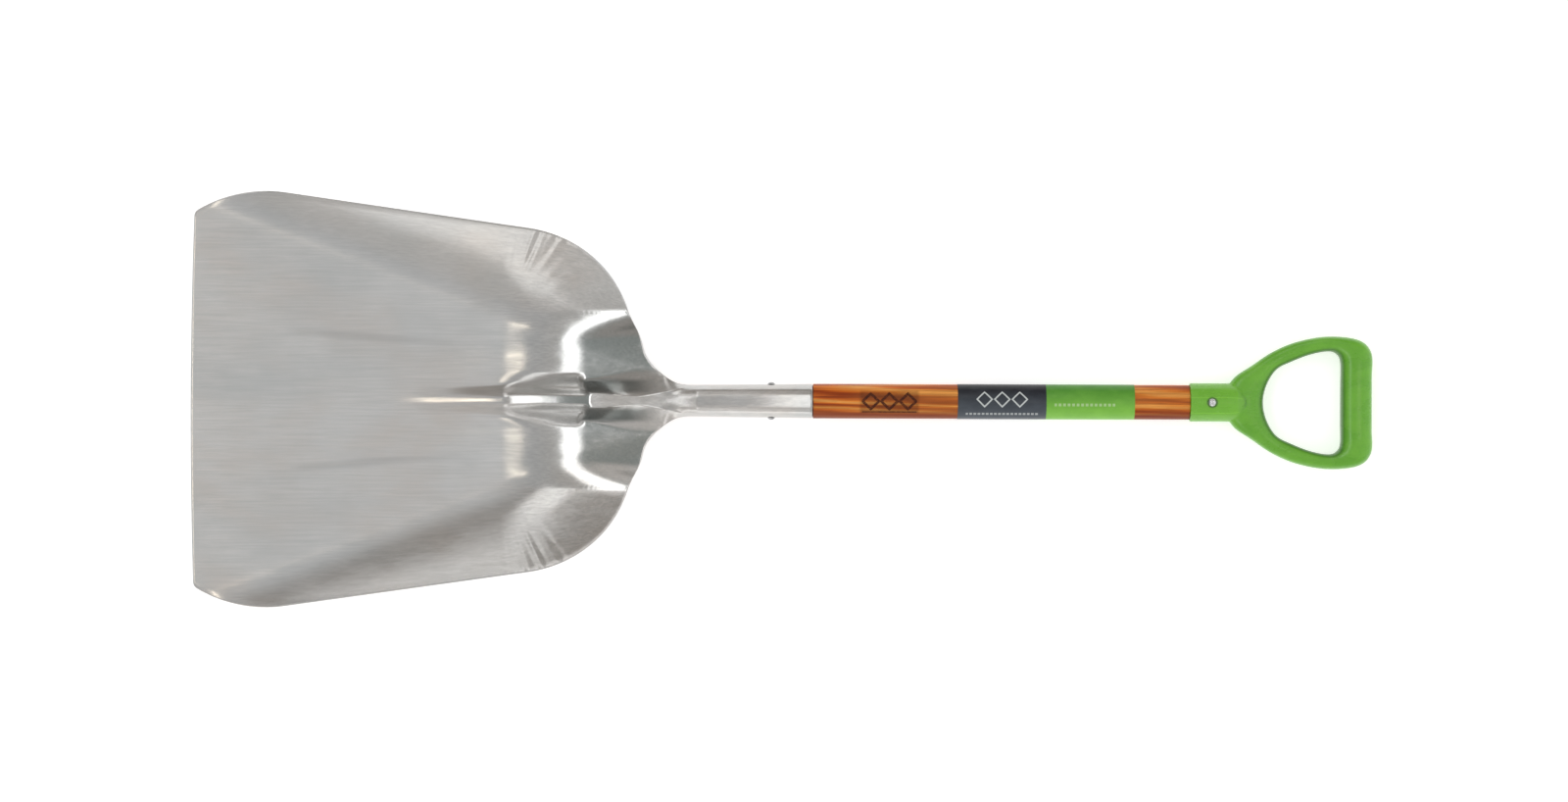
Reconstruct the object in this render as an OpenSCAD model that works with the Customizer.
// Aluminium scoop shovel: a stamped blade with its own socket, a wood shaft and a moulded D-grip.
// Millimetres. It lies bowl up, as it does on a floor, on the blade's heel and the grip's bar.
// +X points to the grip and +Z up. The origin is below the middle of the bounding box.

/* [Blade] */
// Widest part of the blade
blade_w = 422; // [410:1:430]
// Distance from the front edge to the widest part
widest_x = 75; // [70:1:80]
// Radius of each front corner's long arc
corner_r = 145; // [135:1:150]
// How far the middle of the front edge stands ahead of its ends
front_bow = 3; // [0:0.5:4]
// Angle at which each side narrows towards the socket
taper_angle = 8.1; // [7.5:0.1:8.5]
// Radius of each rear shoulder
shoulder_r = 136; // [133:1:138]
// Thickness of the aluminium sheet
sheet_t = 2.5; // [2.2:0.1:2.8]
// Distance from the front edge to the line where the rear wall starts to rise
heel_x = 318; // [310:1:322]
// Radius of the rear wall's curve
heel_r = 165; // [162:1:172]

/* [Frog] */
// Distance from the front edge to the tip of the raised frog
frog_tip_x = 202; // [195:1:210]
// Half-width of the frog on the flat floor
frog_half_w = 17; // [15:0.5:19]
// Height of the frog where the rear wall starts
frog_heel_h = 12; // [10:0.5:13]

/* [Socket] */
// Distance from the front edge to the bend where the socket starts
neck_x = 509; // [506:1:512]
// Height of the socket's axis above the floor of the blade, at that bend
neck_z = 80; // [79:0.5:82]
// Angle between the socket and the floor of the blade
lift_angle = 12.5; // [12:0.1:13]
// Outer radius of the socket at the bend
socket_r_start = 16.3; // [16:0.1:16.6]
// Outer radius of the socket at its mouth
socket_r_mouth = 17.5; // [17.3:0.1:17.6]
// Length of the socket
socket_len = 118; // [110:1:125]
// Distance from the bend to the socket rivet
socket_rivet_x = 76; // [70:1:85]

/* [Shaft and labels] */
// Diameter of the wood shaft
shaft_d = 35.4; // [35.2:0.1:36]
// Wood seen between the socket and the grip
bare_len = 386; // [370:1:400]
// Distance from the socket's mouth to the labels
label_start = 148; // [140:1:155]
// Length of each label
label_len = 90.5; // [85:0.5:95]
// Thickness of the label film
label_t = 0.25; // [0.2:0.05:0.3]

/* [D-grip] */
// Outer diameter of the grip's collar
collar_d = 39.5; // [39:0.1:39.8]
// Depth of the blind hole that holds the shaft
grip_bore_len = 46; // [40:1:48]
// Distance from the collar's mouth to the grip rivet
grip_rivet_x = 22; // [18:1:26]
// Distance from the collar's mouth to the middle of the crossbar
bar_x = 171; // [170:1:172]
// Height of the crossbar
bar_h = 32; // [31:0.5:32]
// Width of the crossbar, measured along the shaft
bar_w = 32.5; // [32:0.5:33]

/* [Hidden] */
$fn = 96;

// ---- blade outline, seen square to its floor ----
nose_r = 4;             // rounding where the front edge meets each side
bow_len = 90;           // how far back the bow of the front edge fades out
shoulder_angle = 77;    // steepest angle of the outline, behind the shoulder
neck_fillet_r = 45;     // hollow curve from the shoulder into the neck
neck_run_x = neck_x - 9;
neck_half_w = 20.5;

corner_cy = blade_w / 2 - corner_r;
corner_end = [widest_x, corner_cy] + corner_r * [sin(taper_angle), cos(taper_angle)];
fillet_c = [neck_run_x, neck_half_w + neck_fillet_r];
fillet_start = fillet_c - neck_fillet_r * [sin(shoulder_angle), cos(shoulder_angle)];
// The shoulder arc touches the tapering side and the straight run into the neck fillet.
side_d = corner_end * [sin(taper_angle), cos(taper_angle)] - shoulder_r;
run_d = fillet_start * [sin(shoulder_angle), cos(shoulder_angle)] - shoulder_r;
between = sin(shoulder_angle - taper_angle);
shoulder_c = [
    (run_d * cos(taper_angle) - side_d * cos(shoulder_angle)) / between,
    (side_d * sin(shoulder_angle) - run_d * sin(taper_angle)) / between
];
shoulder_start = shoulder_c + shoulder_r * [sin(taper_angle), cos(taper_angle)];
shoulder_end = shoulder_c + shoulder_r * [sin(shoulder_angle), cos(shoulder_angle)];

// ---- how the sheet rises ----
side_bend_y0 = 201;     // half-width of the flat floor, carried forward to the front edge
side_bend_slope = 0.373;
side_slope = 0.78;      // steepest slope of the side walls
side_soft = 45;         // how gently the side walls start
wall_angle = 32.2;      // steepest angle of the rear wall
flare_y = 55;           // half-width of the middle part where the heel's radius stays the same
flare_width = 36;
flare_rate = 0.2;       // how quickly that radius grows towards the corners

// ---- neck, where the stamped sheet turns into the round socket ----
neck_blend = [470, 506];
curl_blend = [490, 562];
curl_angles = [84, 172];
socket_mouth_x = neck_x + socket_len * cos(lift_angle);
// Distance, height and slope of the frog's ridge line, which has a kink where its flat top starts
ridge_top_x = 402;
ridge_top_slope = 0.4;
ridge_end_z = neck_z + socket_r_start / cos(lift_angle);
ridge_top_z = ridge_end_z - ridge_top_slope * (neck_x - ridge_top_x);
ridge = [
    [frog_tip_x, 0, 0],
    [heel_x - 18, frog_heel_h * 0.46, 0.08],
    [heel_x + 4, frog_heel_h * 0.7, 0.16],
    [heel_x + 17, frog_heel_h + 1, 0.45],
    [ridge_top_x - 30, frog_heel_h + 20.5, 0.58],
    [ridge_top_x, ridge_top_z, 0.8],
    [ridge_top_x, ridge_top_z, ridge_top_slope],
    [neck_x, ridge_end_z, ridge_top_slope]
];

// ---- handle line, measured along the socket's axis from the bend ----
shaft_r = shaft_d / 2;
shaft_front_x = -18;
shaft_front_r = 9.5;
socket_gap = 0.3;
grip_x = socket_len + bare_len;
collar_r = collar_d / 2;
tenon_r = 16.5;
grip_bore_r = 16.6;
rivet_r = 2.4;
rivet_hole_r = 2.5;
rivet_head_r = 4;
rivet_head_h = 2.2;
rivet_seat_r = 5.2;
rivet_seats = [19.1, 17.2];     // flat seats for the grip rivet's head above and its set end below
rivet_dimple_r = 1.3;
cut_len = 60;           // longer than anything the rivet holes go through
label_gap = 0.03;

// ---- helpers ----
function clamp01(t) = max(0, min(1, t));
function ease(span, x) = let (t = clamp01((x - span[0]) / (span[1] - span[0]))) t * t * (3 - 2 * t);
function mix(a, b, t) = a + (b - a) * t;
function unit(v) = v / norm(v);

// Smooth curve through knots of [distance, value, slope]
function curve_part(knots, x) = len([for (k = knots) if (k[0] <= x) 1]) - 1;
function hermite(a, b, x) =
    let (w = b[0] - a[0], t = (x - a[0]) / w, e = t * t * (3 - 2 * t))
    mix(a[1], b[1], e) + w * t * (1 - t) * (a[2] * (1 - t) - b[2] * t);
function curve(knots, x) =
    let (i = max(0, min(len(knots) - 2, curve_part(knots, x))))
    x <= knots[0][0] ? knots[0][1] : hermite(knots[i], knots[i + 1], min(x, knots[len(knots) - 1][0]));

// ---- blade surface ----
// Half-width of the blade's outline
function taper_y(x) = corner_end[1] - (x - corner_end[0]) * tan(taper_angle);
function nose_cut(x) = nose_r - sqrt(nose_r ^ 2 - max(0, nose_r - x) ^ 2);
function outline_y(x) =
    x < corner_end[0] ? corner_cy + sqrt(corner_r ^ 2 - (x - widest_x) ^ 2) - nose_cut(x)
    : x < shoulder_start[0] ? taper_y(x)
    : x < shoulder_end[0] ? shoulder_c[1] + sqrt(shoulder_r ^ 2 - (x - shoulder_c[0]) ^ 2)
    : x < fillet_start[0] ? fillet_start[1] + (fillet_start[0] - x) * tan(shoulder_angle)
    : x < neck_run_x ? fillet_c[1] - sqrt(neck_fillet_r ^ 2 - (neck_run_x - x) ^ 2)
    : neck_half_w;

// Heights of the side walls and of the rear wall, each from the distance past the line where it starts.
// The rear wall is an arc of radius r that runs on straight, and r grows towards the corners.
function side_rise(d) = side_slope * (sqrt(d ^ 2 + side_soft ^ 2) - side_soft);
function heel_radius(y) = heel_r + flare_rate * max(0, min(flare_width, abs(y) - flare_y)) ^ 2;
function rear_rise(d, r) =
    let (curved = min(d, r * sin(wall_angle)))
    r - sqrt(r ^ 2 - curved ^ 2) + (d - curved) * tan(wall_angle);
function wall_z(x, y) =
    let (side = max(0, abs(y) - side_bend_y0 + side_bend_slope * x) * cos(atan(side_bend_slope)))
    side_rise(side) + rear_rise(max(0, x - heel_x), heel_radius(y));

// The frog: a ridge with a narrow flat top that widens and rises into the neck
function frog_foot(x) =
    frog_half_w * (0.35 + 0.65 * ease([frog_tip_x, frog_tip_x + 60], x))
    + 4 * ease([heel_x, heel_x + 32], x) + 13 * ease([ridge_top_x - 7, 470], x);
function frog_z(x, y) =
    max(0, curve(ridge, x) - wall_z(x, 0)) * (1 - ease([0.2, 1], abs(y) / frog_foot(x)));

// Top surface of the sheet: x along the blade, s from -1 to 1 across it
function bowl_point(x, s) =
    let (
        u = 0.5 * s + 0.5 * s ^ 3,
        y = u * outline_y(x),
        bow = front_bow * u ^ 2 * clamp01(1 - x / bow_len)
    )
    [x + bow, y, wall_z(x, y) + frog_z(x, y)];
function socket_r(x) =
    mix(socket_r_start, socket_r_mouth, clamp01((x - neck_x) / (socket_mouth_x - neck_x)));
function tube_point(x, s) =
    let (
        a = s * mix(curl_angles[0], curl_angles[1], ease(curl_blend, x)),
        r = socket_r(x),
        axis_z = neck_z + (x - neck_x) * (x < neck_x ? ridge_top_slope : tan(lift_angle))
    )
    [x - r * cos(a) * sin(lift_angle), r * sin(a), axis_z + r * cos(a) * cos(lift_angle)];
function sheet_point(x, s) = mix(bowl_point(x, s), tube_point(x, s), ease(neck_blend, x));

// Distances from the front edge of the sheet's cross-sections, closer together where it bends most
stations = [
    each [0, 1.5, 4, 8],
    each [15:19:300],
    each [heel_x - 8:12:400],
    each [408:7.5:505],
    each [neck_x:13:563],
    socket_mouth_x
];
half_columns = 19;
columns = [for (k = [-half_columns:half_columns]) k / half_columns];

sheet_top = [for (x = stations) [for (s = columns) sheet_point(x, s)]];
last_row = len(sheet_top) - 1;
last_col = len(sheet_top[0]) - 1;
function sheet_normal(i, j) = unit(cross(
    sheet_top[min(i + 1, last_row)][j] - sheet_top[max(i - 1, 0)][j],
    sheet_top[i][min(j + 1, last_col)] - sheet_top[i][max(j - 1, 0)]
));
sheet_under = [
    for (i = [0:last_row]) [for (j = [0:last_col]) sheet_top[i][j] - sheet_t * sheet_normal(i, j)]
];

function flatten(rows) = [for (r = rows) each r];
// Two triangles that fill the quad a, b, c, d
function quad(a, b, c, d) = [[a, b, c], [a, c, d]];
// Numbers of the points in row i and column j, on the sheet's top and on its underside
function top(i, j) = i * (last_col + 1) + j;
function under(i, j) = top(i, j) + (last_row + 1) * (last_col + 1);

module sheet() {
    top_faces = [
        for (i = [0:last_row - 1], j = [0:last_col - 1])
            each quad(top(i, j), top(i, j + 1), top(i + 1, j + 1), top(i + 1, j))
    ];
    under_faces = [
        for (i = [0:last_row - 1], j = [0:last_col - 1])
            each quad(under(i, j), under(i + 1, j), under(i + 1, j + 1), under(i, j + 1))
    ];
    end_faces = [
        for (j = [0:last_col - 1]) each [
            each quad(under(0, j), under(0, j + 1), top(0, j + 1), top(0, j)),
            each quad(top(last_row, j), top(last_row, j + 1), under(last_row, j + 1), under(last_row, j))
        ]
    ];
    side_faces = [
        for (i = [0:last_row - 1]) each [
            each quad(top(i, 0), top(i + 1, 0), under(i + 1, 0), under(i, 0)),
            each quad(under(i, last_col), under(i + 1, last_col), top(i + 1, last_col), top(i, last_col))
        ]
    ];
    polyhedron(
        points = concat(flatten(sheet_top), flatten(sheet_under)),
        faces = concat(top_faces, under_faces, end_faces, side_faces)
    );
}

// ---- rest pose: the heel and the crossbar both touch the floor ----
bar_centre = [neck_x, neck_z] + (grip_x + bar_x) * [cos(lift_angle), sin(lift_angle)];
heel_to_bar = bar_centre - [heel_x, heel_r];
// Tilt of the floor of the blade when the heel's lowest point is `drop` below its curve in the middle
function tilt_for(drop) =
    atan2(heel_to_bar[1], heel_to_bar[0])
    + asin((heel_r + sheet_t + drop - bar_h / 2) / norm(heel_to_bar));
function middle_depth(tilt) = heel_r + sheet_t + heel_x * sin(tilt) - heel_r * cos(tilt);
function lowest_depth(tilt) =
    max([for (row = sheet_under) max([for (p = row) p[0] * sin(tilt) - p[2] * cos(tilt)])]);
// The heel is flatter towards the corners, so it hangs a little lower there
heel_drop = lowest_depth(tilt_for(0)) - middle_depth(tilt_for(0));
rest_tilt = tilt_for(heel_drop);
rest_z = lowest_depth(rest_tilt);
rear_x = bar_centre[0] * cos(rest_tilt) + bar_centre[1] * sin(rest_tilt) + bar_w / 2;
middle_x = rear_x / 2;

// ---- placing ----
module at_rest() {
    translate([-middle_x, 0, rest_z]) rotate([0, rest_tilt, 0]) children();
}

// Puts something on the handle line, x past the bend
module on_handle(x = 0) {
    at_rest() translate([neck_x, 0, neck_z]) rotate([0, -lift_angle, 0]) translate([x, 0, 0]) children();
}

// A shape turned from a profile of [distance along the handle, radius]
module turned(profile) {
    rotate([0, 90, 0]) rotate([0, 0, 180]) rotate_extrude() polygon([for (p = profile) [p[1], p[0]]]);
}

module socket_rivet_hole() {
    on_handle(socket_rivet_x) rotate([90, 0, 0]) cylinder(r = rivet_hole_r, h = cut_len, center = true);
}

module grip_rivet_hole() {
    on_handle(grip_x + grip_rivet_x) cylinder(r = rivet_hole_r, h = cut_len, center = true);
}

// A set rivet along Z: a round shank with a low domed head on each of its two seats
module rivet(seats, dimple_r = 0) {
    dome_r = (rivet_head_r ^ 2 + rivet_head_h ^ 2) / (2 * rivet_head_h);
    difference() {
        union() {
            translate([0, 0, -seats[1]]) cylinder(r = rivet_r, h = seats[0] + seats[1]);
            for (side = [0, 1])
                mirror([0, 0, side])
                    translate([0, 0, seats[side]])
                        intersection() {
                            cylinder(r = rivet_head_r, h = rivet_head_h);
                            translate([0, 0, rivet_head_h - dome_r]) sphere(r = dome_r);
                        }
        }
        if (dimple_r > 0)
            translate([0, 0, seats[0] + rivet_head_h - 0.8]) cylinder(r = dimple_r, h = 2);
    }
}

// ---- D-grip loop ----
// Stations round one half of the D, from the throat to the middle of the crossbar.
// Each is [inner point, outer point, height], measured from the collar's mouth and the shaft's axis.
bar_in = bar_x - bar_w / 2;
bar_out = bar_x + bar_w / 2;
grip_stations = [
    [[75.5, 0], [34, 0], 25],
    [[79, 17.5], [44, 23.5], 23],
    [[89, 33.5], [64, 38], 20],
    [[105, 42], [86, 52.5], 19],
    [[125, 49.5], [112, 63], 20],
    [[143, 52.5], [143, 68], 23],
    [[151.5, 49], [173.5, 64.5], 28],
    [[bar_in, 41], [bar_out - 0.5, 51], bar_h - 1],
    [[bar_in, 21], [bar_out, 26], bar_h],
    [[bar_in, 0], [bar_out, 0], bar_h]
];
grip_steps = 4;
grip_sides = 20;
grip_squareness = 2.6;

function mirrored(s) = [[s[0][0], -s[0][1]], [s[1][0], -s[1][1]], s[2]];
function catmull(a, b, c, d, t) =
    0.5 * (2 * b + (c - a) * t + (2 * a - 5 * b + 4 * c - d) * t ^ 2 + (3 * b - a - 3 * c + d) * t ^ 3);
last_station = len(grip_stations) - 1;
function grip_station(i) =
    i < 0 ? mirrored(grip_stations[-i])
    : i > last_station ? mirrored(grip_stations[2 * last_station - i])
    : grip_stations[i];
function grip_between(i, t) = [
    for (k = [0:2])
        catmull(
            grip_station(i - 1)[k], grip_station(i)[k],
            grip_station(i + 1)[k], grip_station(i + 2)[k], t
        )
];
half_loop = [
    for (i = [0:last_station - 1], k = [0:grip_steps - 1]) grip_between(i, k / grip_steps),
    grip_stations[last_station]
];
loop = concat(half_loop, [for (i = [len(half_loop) - 2:-1:1]) mirrored(half_loop[i])]);

function superround(c) = sign(c) * abs(c) ^ (2 / grip_squareness);
function grip_ring(s) = [
    for (k = [0:grip_sides - 1])
        let (
            a = 360 * k / grip_sides,
            p = (s[0] + s[1]) / 2 + (s[1] - s[0]) / 2 * superround(cos(a))
        )
        [p[0], p[1], s[2] / 2 * superround(sin(a))]
];

module grip_loop() {
    rings = len(loop);
    polyhedron(
        points = [for (s = loop) each grip_ring(s)],
        faces = [
            for (i = [0:rings - 1], k = [0:grip_sides - 1])
                let (i2 = (i + 1) % rings, k2 = (k + 1) % grip_sides)
                    each quad(
                        i * grip_sides + k, i2 * grip_sides + k,
                        i2 * grip_sides + k2, i * grip_sides + k2
                    )
        ]
    );
}

// ---- sub-parts ----
module blade() {
    color([0.72, 0.73, 0.72])
        difference() {
            at_rest() sheet();
            socket_rivet_hole();
        }
}

module shaft() {
    inner_start = socket_r_start - sheet_t - 2 * socket_gap;
    inner_mouth = socket_r_mouth - sheet_t - socket_gap;
    tenon_end = grip_x + grip_bore_len - 1;
    color([0.75, 0.42, 0.18])
        difference() {
            on_handle()
                turned([
                    [shaft_front_x, 0],
                    [shaft_front_x, shaft_front_r - 1],
                    [shaft_front_x + 1, shaft_front_r],
                    [0, inner_start],
                    [socket_len, inner_mouth],
                    [socket_len + 0.5, inner_mouth],
                    [socket_len + 0.5, shaft_r - 0.8],
                    [socket_len + 1.3, shaft_r],
                    [grip_x - 0.3, shaft_r],
                    [grip_x - 0.3, tenon_r],
                    [tenon_end - 1, tenon_r],
                    [tenon_end, tenon_r - 1],
                    [tenon_end, 0]
                ]);
            socket_rivet_hole();
            grip_rivet_hole();
        }
}

module socket_rivet() {
    seat = mix(socket_r_start, socket_r_mouth, socket_rivet_x / socket_len) + 0.15;
    color([0.62, 0.63, 0.64]) on_handle(socket_rivet_x) rotate([90, 0, 0]) rivet([seat, seat]);
}

module grip() {
    color([0.39, 0.69, 0.24])
        difference() {
            union() {
                on_handle(grip_x) grip_loop();
                on_handle(grip_x)
                    turned([
                        [0, 0],
                        [0, collar_r - 0.6],
                        [0.6, collar_r],
                        [40, collar_r],
                        [48, collar_r - 1.2],
                        [56, collar_r - 5.5],
                        [62, collar_r - 11],
                        [62, 0]
                    ]);
            }
            on_handle(grip_x - 1) rotate([0, 90, 0]) cylinder(r = grip_bore_r, h = grip_bore_len + 1);
            grip_rivet_hole();
            for (side = [0, 1])
                on_handle(grip_x + grip_rivet_x)
                    mirror([0, 0, side])
                        translate([0, 0, rivet_seats[side]]) cylinder(r = rivet_seat_r, h = 5);
        }
}

module grip_rivet() {
    color([0.75, 0.76, 0.77]) on_handle(grip_x + grip_rivet_x) rivet(rivet_seats, rivet_dimple_r);
}

module label_band(start) {
    on_handle(socket_len + start)
        rotate([0, 90, 0])
            difference() {
                cylinder(r = shaft_r + label_gap + label_t, h = label_len);
                translate([0, 0, -1]) cylinder(r = shaft_r + label_gap, h = label_len + 2);
            }
}

module label_navy() {
    color([0.18, 0.20, 0.28]) label_band(label_start);
}

module label_green() {
    color([0.36, 0.68, 0.22]) label_band(label_start + label_len);
}

blade();
shaft();
socket_rivet();
grip();
grip_rivet();
label_navy();
label_green();
